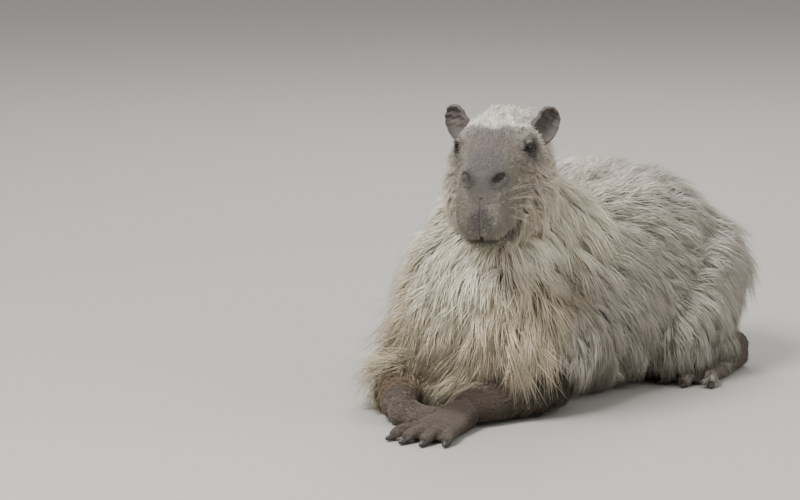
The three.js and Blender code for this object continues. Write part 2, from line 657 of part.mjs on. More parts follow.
add('neck', (extra) => {
  const core = (grow) => solidForm(neckForm, { grow: evenly(neckCore.top + grow), sides: 18, steps: 5,
    domeSteps: 2 });
  return joined([
    core(extra).subtract(neckBase.transform(cutPlace(extra))),
    ...coatOf(neckForm, neckCore, neckRows, { buriedIn: breast }, extra),
  ]);
}, materialOf(colours.ruff));

// The origin goes to the floor under the middle of the body.
const extent = new THREE.Box3().setFromObject(animal);
const middle = extent.getCenter(vector(0, 0, 0));
animal.position.set(-middle.x, -middle.y, 0);

export default animal;
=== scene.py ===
import bpy, bmesh, math
import numpy as np
from mathutils import Vector, Matrix
from mathutils.kdtree import KDTree


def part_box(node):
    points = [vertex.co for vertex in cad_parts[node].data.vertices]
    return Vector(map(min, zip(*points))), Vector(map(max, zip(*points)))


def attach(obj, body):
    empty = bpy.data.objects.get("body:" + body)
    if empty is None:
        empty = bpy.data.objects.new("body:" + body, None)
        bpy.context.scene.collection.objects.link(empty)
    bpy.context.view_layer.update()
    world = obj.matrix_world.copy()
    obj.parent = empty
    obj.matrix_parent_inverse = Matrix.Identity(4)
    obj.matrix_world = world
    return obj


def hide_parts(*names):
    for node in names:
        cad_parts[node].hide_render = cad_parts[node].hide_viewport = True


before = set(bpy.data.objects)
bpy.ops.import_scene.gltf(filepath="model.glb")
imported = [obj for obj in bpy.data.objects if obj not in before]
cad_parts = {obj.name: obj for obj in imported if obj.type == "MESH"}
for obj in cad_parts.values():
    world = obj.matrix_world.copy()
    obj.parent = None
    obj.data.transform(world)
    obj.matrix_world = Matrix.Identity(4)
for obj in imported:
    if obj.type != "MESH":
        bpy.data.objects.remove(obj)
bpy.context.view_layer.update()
scene = bpy.context.scene
mm = 0.001

# The animal is measured in millimetres from the floor point under its throat.
head = {"nose": (140, -200, 405), "yaw": math.radians(22), "pitch": math.radians(4)}
eye = {"radius": 11.0, "place": (52, 130, 26)}
headTurn = Matrix.Rotation(head["yaw"], 3, "Z") @ Matrix.Rotation(head["pitch"], 3, "X")
headTurn = np.array(headTurn)
nosePlace = np.array(head["nose"], float)


def fromHead(point):  # head frame: x left, y back from the nose, z up
    return np.asarray(point, float) @ headTurn.T + nosePlace


def toHead(point):
    return (np.asarray(point, float) - nosePlace) @ headTurn


eyeLow, eyeHigh = [np.array(corner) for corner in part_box("eye_left")]
throat = (eyeLow + eyeHigh) / 2 - fromHead(eye["place"]) * mm
throat[2] = 0


def place(point):  # throat frame in millimetres to scene metres
    return np.asarray(point, float) * mm + throat


def deselectAll():
    for thing in bpy.context.selected_objects:
        thing.select_set(False)


def makeActive(thing):
    deselectAll()
    thing.select_set(True)
    bpy.context.view_layer.objects.active = thing


def meshObject(name, points, faces):
    mesh = bpy.data.meshes.new(name)
    mesh.from_pydata([tuple(p) for p in points], [], faces)
    mesh.update()
    thing = bpy.data.objects.new(name, mesh)
    scene.collection.objects.link(thing)
    return thing


def applyModifier(thing, kind, **settings):
    makeActive(thing)
    modifier = thing.modifiers.new(kind.title(), kind)
    for key, value in settings.items():
        setattr(modifier, key, value)
    bpy.ops.object.modifier_apply(modifier=modifier.name)


# Camera

camera = {"azimuth": 32, "elevation": 9, "distance": 8.0, "lens": 225, "throatPixel": (470, 410),
          "pixel": 0.0016}
azimuth, elevation = math.radians(camera["azimuth"]), math.radians(camera["elevation"])
rightWay = np.array([math.cos(azimuth), math.sin(azimuth), 0])
forward = np.array([-math.sin(azimuth) * math.cos(elevation),
                    math.cos(azimuth) * math.cos(elevation), -math.sin(elevation)])
upWay = np.cross(rightWay, forward)
offRight = (camera["throatPixel"][0] - 400) * camera["pixel"]
offUp = (250 - camera["throatPixel"][1]) * camera["pixel"]
cameraPlace = throat - forward * camera["distance"] - rightWay * offRight - upWay * offUp
cameraData = bpy.data.cameras.new("camera")
cameraData.lens = camera["lens"]
cameraData.sensor_width = 36
cameraData.clip_end = 60
cameraObject = bpy.data.objects.new("camera", cameraData)
cameraObject.matrix_world = Matrix((
    (rightWay[0], upWay[0], -forward[0], cameraPlace[0]),
    (rightWay[1], upWay[1], -forward[1], cameraPlace[1]),
    (rightWay[2], upWay[2], -forward[2], cameraPlace[2]), (0, 0, 0, 1)))
scene.collection.objects.link(cameraObject)
scene.camera = cameraObject
print("camera placed")

# Shader maths


class Socket:
    def __init__(self, graph, link):
        self.graph, self.link = graph, link

    def maths(self, operation, *others):
        return self.graph.node("ShaderNodeMath", {"operation": operation}, [self, *others])

    def __add__(self, other): return self.maths("ADD", other)
    def __radd__(self, other): return self.maths("ADD", other)
    def __sub__(self, other): return self.maths("SUBTRACT", other)
    def __rsub__(self, other): return self.graph.node(
        "ShaderNodeMath", {"operation": "SUBTRACT"}, [other, self])
    def __mul__(self, other): return self.maths("MULTIPLY", other)
    def __rmul__(self, other): return self.maths("MULTIPLY", other)
    def __truediv__(self, other): return self.maths("DIVIDE", other)
    def __pow__(self, other): return self.maths("POWER", other)


class Graph:
    def __init__(self, name):
        self.material = bpy.data.materials.new(name)
        self.material.use_nodes = True
        self.tree = self.material.node_tree
        self.shader = self.tree.nodes["Principled BSDF"]

    def node(self, kind, settings, inputs, output=0):
        made = self.tree.nodes.new(kind)
        for key, value in settings.items():
            if key == "stops":
                ramp = made.color_ramp
                while len(ramp.elements) < len(value):
                    ramp.elements.new(0.5)
                for element, (position, colour) in zip(ramp.elements, value):
                    element.position = position
                    element.color = (*colour, 1)
            else:
                setattr(made, key, value)
        pairs = inputs.items() if isinstance(inputs, dict) else enumerate(inputs)
        for key, value in pairs:
            if isinstance(value, Socket):
                self.tree.links.new(value.link, made.inputs[key])
            elif value is not None:
                made.inputs[key].default_value = value
        return Socket(self, made.outputs[output])

    def coordinates(self):
        return self.node("ShaderNodeTexCoord", {}, {}, "Object")

    def attribute(self, name, output):
        return self.node("ShaderNodeAttribute", {"attribute_name": name}, {}, output)

    def noise(self, scale, detail=3.0, stretch=None, rough=0.55):
        where = self.coordinates()
        if stretch:
            where = self.node("ShaderNodeMapping", {}, {"Vector": where, "Scale": stretch})
        return self.node("ShaderNodeTexNoise", {},
                         {"Vector": where, "Scale": scale, "Detail": detail, "Roughness": rough})

    def blend(self, share, first, second, way="MIX"):
        return self.node("ShaderNodeMix", {"data_type": "RGBA", "blend_type": way},
                         {0: share, 6: first, 7: second}, 2)

    def bump(self, height, strength, distance):
        return self.node("ShaderNodeBump", {},
                         {"Strength": strength, "Distance": distance, "Height": height})

    def feed(self, **sockets):
        for key, value in sockets.items():
            name = key.replace("_", " ")
            if isinstance(value, Socket):
                self.tree.links.new(value.link, self.shader.inputs[name])
            else:
                self.shader.inputs[name].default_value = value
        return self.material


def colourOf(red, green, blue):  # screen values 0 to 255 as light
    values = np.array([red, green, blue], float) / 255
    return tuple(np.where(values <= 0.04045, values / 12.92, ((values + 0.055) / 1.055) ** 2.4))


# Studio

studio = {"floor": (176, 174, 168), "sky": (240, 240, 238), "skyStrength": 0.55}
bpy.ops.mesh.primitive_plane_add(size=14, location=(0, 1.5, 0))
floor = bpy.context.active_object
floor.name = "floor"
makeActive(floor)
bpy.ops.object.transform_apply(location=True, rotation=True, scale=True)
floorPaint = Graph("floorPaint")
floor.data.materials.append(floorPaint.feed(Base_Color=(*colourOf(*studio["floor"]), 1),
                                            Roughness=0.9))
world = bpy.data.worlds.new("studioSky")
scene.world = world
world.use_nodes = True
world.node_tree.nodes["Background"].inputs[0].default_value = (*colourOf(*studio["sky"]), 1)
world.node_tree.nodes["Background"].inputs[1].default_value = studio["skyStrength"]
for name, azimuthTurn, height, size, power in (("keyLight", -38, 3.4, 1.6, 265),
                                               ("fillLight", 62, 2.0, 3.0, 44),
                                               ("backLight", 175, 3.2, 2.4, 110)):
    turn = azimuth + math.radians(azimuthTurn)
    away = 3.0
    spot = np.array([math.sin(turn) * away, -math.cos(turn) * away, height])
    data = bpy.data.lights.new(name, "AREA")
    data.size = size
    data.energy = power
    lamp = bpy.data.objects.new(name, data)
    lamp.location = spot
    lamp.rotation_euler = (Vector((0, 0, 0.2)) - Vector(spot)).to_track_quat("-Z", "Y").to_euler()
    scene.collection.objects.link(lamp)
print("studio lit")

# Body forms, each a loft through stations with a centre, half width, rise and drop


def splinePoint(points, t, smooth=True):
    points = np.asarray(points, float)
    count = len(points)
    place = (count - 1) * t
    index = min(int(place), count - 2)
    share = place - index
    before = points[index - 1] if index > 0 else 2 * points[0] - points[1]
    after = points[index + 2] if index + 2 < count else 2 * points[-1] - points[-2]
    a, b = points[index], points[index + 1]
    if not smooth:
        first, last = (b - before) * 0.5, (after - a) * 0.5
    else:
        gaps = [max(np.linalg.norm(q - p) ** 0.5, 1e-4)
                for p, q in ((before, a), (a, b), (b, after))]
        first = ((a - before) / gaps[0] - (b - before) / (gaps[0] + gaps[1])
                 + (b - a) / gaps[1]) * gaps[1]
        last = ((b - a) / gaps[1] - (after - a) / (gaps[1] + gaps[2])
                + (after - b) / gaps[2]) * gaps[1]
    return (a + first * share + (3 * (b - a) - 2 * first - last) * share ** 2
            + (2 * (a - b) + first + last) * share ** 3)


def formOf(stations, power=2.2, across=(1, 0, 0), domes=(40, 40)):
    return {"centres": [s[0] for s in stations], "sizes": [s[1:] for s in stations],
            "power": power, "across": np.array(across, float), "domes": domes}


def ringOf(form, run, sides, grow=(0, 0, 0)):
    t = min(max(run, 0), 1)
    centre = splinePoint(form["centres"], t)
    along = (splinePoint(form["centres"], min(t + 1e-3, 1))
             - splinePoint(form["centres"], max(t - 1e-3, 0)))
    along /= np.linalg.norm(along)
    sideways = form["across"] - along * form["across"].dot(along)
    sideways /= np.linalg.norm(sideways)
    upward = np.cross(sideways, along)
    half, rise, drop = splinePoint(form["sizes"], t, smooth=False)
    swell = 1
    if run < 0 or run > 1:
        end = 0 if run < 0 else 1
        lean = (-run if run < 0 else run - 1) * math.pi / 2
        reach = (form["domes"][end] + grow[1]) * math.sin(lean)
        centre = centre + along * (-reach if end == 0 else reach)
        swell = math.cos(lean)
    angle = np.arange(sides) * 2 * math.pi / sides
    shaped = lambda value: np.sign(value) * np.abs(value) ** (2 / form["power"])
    cosine, sine = shaped(np.cos(angle)), shaped(np.sin(angle))
    tall = np.where(sine >= 0, rise + grow[1], drop + grow[2])
    return (centre + np.outer(cosine * (half + grow[0]) * swell, sideways)
            + np.outer(sine * tall * swell, upward))


def shellOf(form, sides=36, steps=24, domeSteps=7, grow=(0, 0, 0), sculpt=None):
    runs = [-0.985 * i / domeSteps for i in range(domeSteps, 0, -1)]
    runs += [i / steps for i in range(steps + 1)]
    runs += [1 + 0.985 * i / domeSteps for i in range(1, domeSteps + 1)]
    points = np.concatenate([ringOf(form, run, sides, grow) for run in runs])
    if sculpt:
        points = sculpt(points)
    faces = []
    for row in range(len(runs) - 1):
        for j in range(sides):
            a, b = row * sides + j, row * sides + (j + 1) % sides
            faces.append((a, a + sides, b + sides, b))
    faces.append(tuple(range(sides)))
    faces.append(tuple(reversed(range((len(runs) - 1) * sides, len(runs) * sides))))
    return points, faces


headForm = formOf([([0, back, (top + bottom) / 2], half, (top - bottom) / 2, (top - bottom) / 2)
                   for back, half, top, bottom in (
                       (3, 31, 9, -90), (14, 38, 18, -102), (34, 41, 24, -110),
                       (62, 43.5, 31, -113), (98, 49, 41, -114), (132, 57, 51, -114),
                       (166, 64, 58, -114),
                       (200, 67, 60, -112), (236, 66, 57, -106), (266, 60, 48, -96))],
                  power=2.6, domes=(9, 30))
headSwellings = [  # place, reach and how far each stands out
    ((34, 168, -52), (34, 62, 46), 9), ((50, 134, 40), (22, 34, 16), 7),
    ((66, 96, 0), (24, 26, 20), -5), ((22, 4, -56), (20, 40, 26), 5),
    ((27, 2, 6), (15, 24, 16), 4), ((0, 8, -14), (12, 30, 26), -2),
    ((46, 16, -106), (26, 44, 20), -9), ((58, 134, 24), (30, 40, 26), 9),
]


def sculptedHead(points):
    heart = np.stack([points[:, 0] * 0.6, np.clip(points[:, 1], 30, 230),
                      -38 + (points[:, 2] + 38) * 0.6], 1)
    outward = points - heart
    outward /= np.linalg.norm(outward, axis=1)[:, None]
    out = np.zeros(len(points))
    for centre, reach, amount in headSwellings:
        offset = np.abs(points * (1, 0, 0)) + points * (0, 1, 1) - centre
        out += amount * np.exp(-((offset / reach) ** 2).sum(1))
    return points + outward * out[:, None]


neckForm = formOf([([58, -6, 384], 46, 48, 60), ([46, 30, 356], 66, 70, 92),
                   ([26, 84, 308], 98, 88, 124), ([8, 160, 246], 128, 100, 136)], domes=(16, 60))
trunkForm = formOf([([aside, back, (top + bottom) / 2], half, (top - bottom) / 2,
                     (top - bottom) / 2) for back, aside, top, bottom, half in (
    (-20, 10, 262, 60, 90), (20, 8, 292, 20, 122), (80, 2, 312, 2, 144), (170, 0, 326, -6, 156),
    (270, 0, 338, -8, 166), (370, 0, 342, -8, 172), (460, 0, 330, -8, 168),
    (540, 0, 300, -6, 154), (604, 0, 246, 6, 120))], power=2.2, domes=(36, 56))
breastForm = formOf([([44, 22, 316], 76, 70, 60), ([28, 16, 244], 106, 80, 74),
                     ([12, 10, 160], 124, 80, 80), ([2, 4, 60], 126, 80, 78)], domes=(26, 40))
armForms = [
    formOf([([96, 128, 186], 48, 70, 70), ([118, 84, 116], 46, 58, 58), ([122, 36, 58], 42, 46, 46),
            ([98, -40, 42], 33, 33, 33), ([72, -124, 30], 27, 24, 24)], domes=(50, 18)),
    formOf([([-96, 124, 186], 48, 70, 70), ([-112, 76, 116], 46, 58, 58),
            ([-114, 16, 58], 42, 46, 46), ([-84, -74, 42], 33, 33, 33),
            ([-40, -150, 32], 27, 26, 26)], domes=(50, 22)),
]
legForms = []
for side, shift in ((1, 0), (-1, 14)):
    legForms.append(formOf([([92 * side, 556 + shift, 164], 84, 104, 104),
                            ([130 * side, 462 + shift, 126], 74, 104, 104),
                            ([152 * side, 376 + shift, 78], 52, 60, 60)], domes=(60, 40)))
    legForms.append(formOf([([160 * side, 386 + shift, 62], 44, 44, 44),
                            ([166 * side, 480 + shift, 50], 38, 40, 40),
                            ([168 * side, 574 + shift, 34], 26, 26, 26)], domes=(30, 22)))

feet = {
    "forefoot_left": {"start": (72, -140), "end": (76, -232), "rootHalf": 25, "ballHalf": 40,
                      "rootHigh": 46, "ballHigh": 32, "toes": (58, 70, 68, 54), "spread": 66,
                      "fan": 0.3},
    "forefoot_right": {"start": (-30, -162), "end": (26, -142), "rootHalf": 25, "ballHalf": 32,
                       "rootHigh": 48, "ballHigh": 28, "toes": (38, 44, 42, 36), "spread": 46,
                       "fan": 0.2},
    "hindfoot_left": {"start": (172, 572), "end": (190, 410), "rootHalf": 24, "ballHalf": 36,
                      "rootHigh": 40, "ballHigh": 28, "toes": (50, 60, 50), "spread": 52,
                      "fan": 0.34},
    "hindfoot_right": {"start": (-172, 586), "end": (-190, 424), "rootHalf": 24, "ballHalf": 36,
                       "rootHigh": 40, "ballHigh": 28, "toes": (50, 60, 50), "spread": 52,
                       "fan": 0.34},
}
clawLength = 17


def footShells(start, end, rootHalf, ballHalf, rootHigh, ballHigh, toes, spread, fan):
    start, end = np.array([*start, 0.0]), np.array([*end, 0.0])
    heading = (end - start) / np.linalg.norm(end - start)
    sideways = np.array([-heading[1], heading[0], 0])
    middle = (start + end) / 2
    sole = formOf([
        ([start[0], start[1], rootHigh * 0.5], rootHalf, rootHigh * 0.5, rootHigh * 0.5),
        ([middle[0], middle[1], ballHigh * 0.55], (rootHalf + ballHalf) / 2,
         (rootHigh + ballHigh) / 4, ballHigh * 0.6),
        ([end[0], end[1], ballHigh * 0.45], ballHalf, ballHigh * 0.5, ballHigh * 0.5)],
        across=sideways, domes=(rootHalf * 0.7, ballHalf * 0.4))
    shells = [shellOf(sole, 24, 8, 4)]
    for i, length in enumerate(toes):
        part = i / (len(toes) - 1) - 0.5
        turn = -fan * part * 2
        direction = np.array([heading[0] * math.cos(turn) - heading[1] * math.sin(turn),
                              heading[0] * math.sin(turn) + heading[1] * math.cos(turn), 0])
        root = end - sideways * part * spread
        lifted = lambda reach, height: [*(root + direction * reach)[:2], height]
        toe = formOf([
            (lifted(-12, ballHigh * 0.42), 8.6, 10, 9), (lifted(length * 0.5, 15), 8.4, 9, 10),
            (lifted(length - clawLength * 0.5, 10), 8, 8, 9.5)],
            across=(-direction[1], direction[0], 0), domes=(4, 5))
        shells.append(shellOf(toe, 16, 10, 4))
        if i:
            a = (root + direction * length * 0.5)
            b = lastRoot + lastDirection * lastLength * 0.5
            web = formOf([
                ([*((root + lastRoot) / 2)[:2], 8], np.linalg.norm(root - lastRoot) / 2, 3, 3),
                ([*((a + b) / 2)[:2], 7], np.linalg.norm(a - b) / 2, 2.6, 2.6)],
                across=(-direction[1], direction[0], 0), domes=(4, 4))
            shells.append(shellOf(web, 16, 4, 2))
        lastRoot, lastDirection, lastLength = root, direction, length
    return shells


# Skin: every form in one closed surface

skin = {"voxel": 0.0042, "softening": 14}
shells = [(fromHead(points), faces) for points, faces in [
    shellOf(headForm, 56, 60, 10, sculpt=sculptedHead)]]
shells += [shellOf(form) for form in [neckForm, trunkForm, breastForm, *armForms, *legForms]]
for foot in feet.values():
    shells += footShells(**foot)
allPoints, allFaces, offset = [], [], 0
for points, faces in shells:
    allPoints.append(place(points))
    allFaces += [tuple(index + offset for index in face) for face in faces]
    offset += len(points)
allPoints = np.concatenate(allPoints)
allPoints[:, 2] = np.maximum(allPoints[:, 2], 0.0006)
skinObject = meshObject("skin", allPoints, allFaces)
makeActive(skinObject)
bpy.ops.object.mode_set(mode="EDIT")
bpy.ops.mesh.select_all(action="SELECT")
bpy.ops.mesh.normals_make_consistent(inside=False)
bpy.ops.object.mode_set(mode="OBJECT")
applyModifier(skinObject, "REMESH", mode="VOXEL", voxel_size=skin["voxel"])


def pointsOf(thing):
    flat = np.empty(len(thing.data.vertices) * 3, np.float32)
    thing.data.vertices.foreach_get("co", flat)
    return flat.reshape(-1, 3).astype(float)


def setPoints(thing, points):
    thing.data.vertices.foreach_set("co", points.astype(np.float32).ravel())
    thing.data.update()


def inThroatFrame(points):
    return (points - throat) / mm


bodyPoints = inThroatFrame(pointsOf(skinObject))
inHead = toHead(bodyPoints)
isBody = ((inHead[:, 1] > 190) & (bodyPoints[:, 2] > 46)).astype(float)
softGroup = skinObject.vertex_groups.new(name="soft")
softGroup.add(np.nonzero(isBody)[0].tolist(), 1.0, "REPLACE")
applyModifier(skinObject, "SMOOTH", factor=0.5, iterations=skin["softening"], vertex_group="soft")
applyModifier(skinObject, "SMOOTH", factor=0.5, iterations=2)
makeActive(skinObject)
bpy.ops.object.shade_smooth()

# Face: finer faces over the muzzle and round the eyes, then nostrils, mouth and lids

face = {"nostril": (27, -4, 2), "nostrilDeep": 15, "mouthDeep": 10, "mouthHeight": -92,
        "mouthRise": 0.17, "mouthFall": 0.06, "mouthEnd": 84, "philtrumDeep": 2.2,
        "muzzleEnd": 30}


def refine(thing, picked):
    mesh = bmesh.new()
    mesh.from_mesh(thing.data)
    centres = np.array([polygon.calc_center_median() for polygon in mesh.faces])
    chosen = picked(toHead(inThroatFrame(centres)))
    mesh.faces.ensure_lookup_table()
    edges = {edge for index in np.nonzero(chosen)[0] for edge in mesh.faces[index].edges}
    bmesh.ops.subdivide_edges(mesh, edges=list(edges), cuts=1, use_grid_fill=True)
    bmesh.ops.triangulate(mesh, faces=[polygon for polygon in mesh.faces if len(polygon.verts) > 4])
    mesh.to_mesh(thing.data)
    mesh.free()


eyePlace = np.array(eye["place"], float)


def nearEye(points, reach):
    offset = np.abs(points * (1, 0, 0)) + points * (0, 1, 1) - eyePlace
    return (offset ** 2).sum(1) < reach ** 2


def mouthLine(points):  # height of the mouth, which rises a little towards its corners
    return (face["mouthHeight"] + face["mouthRise"] * np.clip(points[:, 1], 0, face["mouthEnd"])
            - face["mouthFall"] * np.abs(points[:, 0]))


def nostrilSlant(points):  # along and across a nostril, which slopes down and inwards
    aside = np.abs(points[:, 0]) - face["nostril"][0]
    high = points[:, 2] - face["nostril"][2]
    return aside * 0.82 + high * 0.57, -aside * 0.57 + high * 0.82


refine(skinObject, lambda p: (p[:, 1] < 90) & (p[:, 2] > -125) | nearEye(p, 34))
refine(skinObject, lambda p: (p[:, 1] < 34) & (p[:, 2] > -125) | nearEye(p, 24))

inHead = toHead(inThroatFrame(pointsOf(skinObject)))
back, tall = inHead[:, 1], inHead[:, 2]
push = np.zeros_like(inHead)
slantX, slantZ = nostrilSlant(inHead)
pit = np.exp(-((slantX / 8.4) ** 2 + (slantZ / 5.6) ** 2) ** 1.5) * (back < face["muzzleEnd"])
push[:, 1] += pit * face["nostrilDeep"]
rim = np.exp(-((np.hypot(slantX / 12.5, slantZ / 9.6) - 1) / 0.3) ** 2) * (back < face["muzzleEnd"])
push[:, 1] -= rim * 2.4
line = mouthLine(inHead)
gapLine = np.exp(-((tall - line) / 3.6) ** 2) * (back < face["mouthEnd"]) * (tall < -40)
inward = -inHead * (1, 0, 1) + np.array((0, 0, -70.0)) + (0, 1, 0) * (60 - back)[:, None]
inward /= np.linalg.norm(inward, axis=1)[:, None]
push += inward * (gapLine * face["mouthDeep"] * np.clip((88 - back) / 30, 0, 1))[:, None]
groove = np.exp(-(inHead[:, 0] / 2.4) ** 2) * (back < 24) * (tall > line) * (tall < -26)
push[:, 1] += groove * face["philtrumDeep"]
moved = fromHead(inHead + push)
setPoints(skinObject, place(moved))

# Eyes sit in sockets, and lids fold round them

lids = {"wide": 12.9, "upper": 7.3, "lower": 7.8, "reach": 1.15, "rows": 16, "sides": 72}
outwardEye = np.array((0.86, -0.48, 0.1))
outwardEye /= np.linalg.norm(outwardEye)
levelEye = np.cross((0, 0, 1.0), outwardEye)
levelEye /= np.linalg.norm(levelEye)
upEye = np.cross(outwardEye, levelEye)


def lidRing(side):
    phi = np.arange(lids["sides"]) * 2 * math.pi / lids["sides"]
    tallOpening = np.where(np.sin(phi) > 0, lids["upper"], lids["lower"])
    openX, openZ = np.cos(phi) * lids["wide"] * 0.96, np.sin(phi) * tallOpening + 0.9
    opening = np.arcsin(np.clip(np.hypot(openX, openZ) / 12.6, 0, 0.98))
    turn = np.arctan2(openZ, openX)
    points = []
    for row in range(lids["rows"]):
        s = row / (lids["rows"] - 1)
        lean = opening + (lids["reach"] + 0.25 - opening) * s
        radius = 11.2 + 2.7 * min(s / 0.16, 1) ** 0.6 + 0.9 * math.sin(s * math.pi) \
            + 0.35 * math.sin(s * 22) - 2.4 * max(s - 0.75, 0) * 4
        ray = (np.outer(np.cos(lean), outwardEye) + np.outer(np.sin(lean) * np.cos(turn), levelEye)
               + np.outer(np.sin(lean) * np.sin(turn), upEye))
        points.append(eyePlace + ray * radius)
    for lean in (lids["reach"], 0.0):  # back along the eyeball to close the ring
        shown = opening + (lids["reach"] - opening) * (0.8 if lean else 0.12)
        ray = (np.outer(np.cos(shown), outwardEye)
               + np.outer(np.sin(shown) * np.cos(turn), levelEye)
               + np.outer(np.sin(shown) * np.sin(turn), upEye))
        points.append(eyePlace + ray * 10.4)
    rows, sides = len(points), lids["sides"]
    flat = np.concatenate(points) * (side, 1, 1)
    faces = []
    for row in range(rows):
        for j in range(sides):
            a, b = row * sides + j, row * sides + (j + 1) % sides
            c, d = ((row + 1) % rows) * sides + (j + 1) % sides, ((row + 1) % rows) * sides + j
            faces.append((a, b, c, d) if side > 0 else (d, c, b, a))
    return flat, faces


for side, name in ((1, "left"), (-1, "right")):
    points, faces = lidRing(side)
    ring = meshObject("lids_" + name, place(fromHead(points)), faces)
    makeActive(ring)
    bpy.ops.object.mode_set(mode="EDIT")
    bpy.ops.mesh.select_all(action="SELECT")
    bpy.ops.mesh.normals_make_consistent(inside=False)
    bpy.ops.object.mode_set(mode="OBJECT")
    bpy.ops.object.shade_smooth()
    # the skin draws back behind the eyeball
    inHead = toHead(inThroatFrame(pointsOf(skinObject)))
    centre = eyePlace * (side, 1, 1)
    away = inHead - centre
    distance = np.linalg.norm(away, axis=1)
    front = away @ (outwardEye * (side, 1, 1)) / (distance + 1e-6)
    within = (distance < 22) & (front > 0.42)
    share = np.clip((front - 0.42) / 0.2, 0, 1)
    wanted = centre + away / (distance[:, None] + 1e-6) * np.minimum(distance, 9.0)[:, None]
    inHead = np.where(within[:, None], inHead + (wanted - inHead) * share[:, None], inHead)
    setPoints(skinObject, place(fromHead(inHead)))
    deselectAll()
    ring.select_set(True)
    skinObject.select_set(True)
    bpy.context.view_layer.objects.active = skinObject
    bpy.ops.object.join()
print("skin", len(skinObject.data.polygons), "faces")

# Ears: a cupped leaf with a crinkled margin

ear = {"place": (58, 204, 22), "high": 60, "wide": 46, "deep": 26, "wall": 2.6}


def makeEar(side, name):
    bpy.ops.mesh.primitive_uv_sphere_add(segments=64, ring_count=48, radius=1)
    outer = bpy.context.active_object
    outer.scale = (ear["wide"] / 2, ear["deep"] / 2, ear["high"] * 0.56)
    outer.location = (0, 0, ear["high"] * 0.44)
    makeActive(outer)
    bpy.ops.object.transform_apply(location=True, rotation=True, scale=True)
    bpy.ops.mesh.primitive_uv_sphere_add(segments=64, ring_count=48, radius=1)
    cup = bpy.context.active_object
    cup.scale = (ear["wide"] / 2 - ear["wall"], ear["deep"] / 2 + 1.4, ear["high"] * 0.47)
    cup.location = (0.6, -8.6, ear["high"] * 0.5)
    makeActive(cup)
    bpy.ops.object.transform_apply(location=True, rotation=True, scale=True)
    applyModifier(outer, "BOOLEAN", operation="DIFFERENCE", object=cup, solver="EXACT")
    bpy.data.objects.remove(cup)
    applyModifier(outer, "REMESH", mode="VOXEL", voxel_size=0.9)
    applyModifier(outer, "SMOOTH", factor=0.5, iterations=4)
    points = pointsOf(outer)
    edge = np.clip((points[:, 2] - 12) / 40, 0, 1)
    ripple = (np.sin(points[:, 2] * 0.42 + points[:, 0] * 0.2) * 1.5
              + np.sin(points[:, 0] * 0.5 + 1.7) * 1.1 + np.sin(points[:, 2] * 0.9) * 0.5)
    points[:, 1] += ripple * edge
    notch = np.exp(-((points[:, 0] * side + 18) ** 2 + (points[:, 2] - 36) ** 2) / 60)
    points[:, 0] *= 1 - 0.16 * notch
    points[:, 0] *= side
    facing = side * 0.45
    turn = Matrix.Rotation(0.42 * side, 3, "Y") @ Matrix.Rotation(-0.2, 3, "X") \
        @ Matrix.Rotation(facing, 3, "Z")
    points[:, 0] *= side
    points = points @ np.array(turn).T + np.array(ear["place"]) * (side, 1, 1)
    setPoints(outer, place(fromHead(points)))
    outer.name = "ear_" + name + "_shape"
    makeActive(outer)
    bpy.ops.object.shade_smooth()
    outer.data.materials.append(earMaterial)
    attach(outer, "root")
    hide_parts("ear_" + name)
    return outer


earPaint = Graph("earPaint")
mottle = earPaint.noise(90, 4)
grain = earPaint.noise(420, 2)
earMaterial = earPaint.feed(
    Base_Color=earPaint.blend(mottle, (*colourOf(60, 55, 51), 1), (*colourOf(104, 95, 88), 1)),
    Roughness=0.7 + grain * 0.15, Normal=earPaint.bump(grain, 0.5, 0.0006))
ears = [makeEar(side, name) for side, name in ((1, "left"), (-1, "right"))]
print("ears shaped")

skinPaint = Graph("skinPaint")
skinTone = skinPaint.attribute("coatColour", "Color")
skinObject.data.materials.append(skinPaint.feed(Base_Color=skinTone, Roughness=0.75))
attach(skinObject, "root")
replaced = ["head", "neck", "torso"]
replaced += ["foreleg_left", "foreleg_right", "hindleg_left", "hindleg_right", *feet]
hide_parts(*replaced)

# Coat guides: place, lie, length, width and colour of the hair there

coatTones = {
    "crown": (240, 232, 220), "forehead": (110, 98, 87), "nose": (92, 84, 79),
    "muzzle": (140, 131, 116), "cheek": (160, 148, 131), "whisker": (212, 200, 180),
    "ruff": (248, 238, 216), "breast": (222, 207, 178), "fringe": (212, 200, 170),
    # the "shade" tone is painted shadow on the flank under the mane tips
    "back": (224, 216, 200), "flank": (204, 195, 180), "shade": (168, 155, 136),
    "rump": (200, 193, 180), "leg": (122, 103, 80), "arm": (74, 61, 49), "foot": (108, 96, 84),
    # the dark chin tone is painted shadow under the jaw
    "lip": (176, 165, 138), "chin": (96, 82, 66),
}


def headGuide(where, lie, *rest):
    return (fromHead(where), np.array(lie, float) @ headTurn.T, *rest)


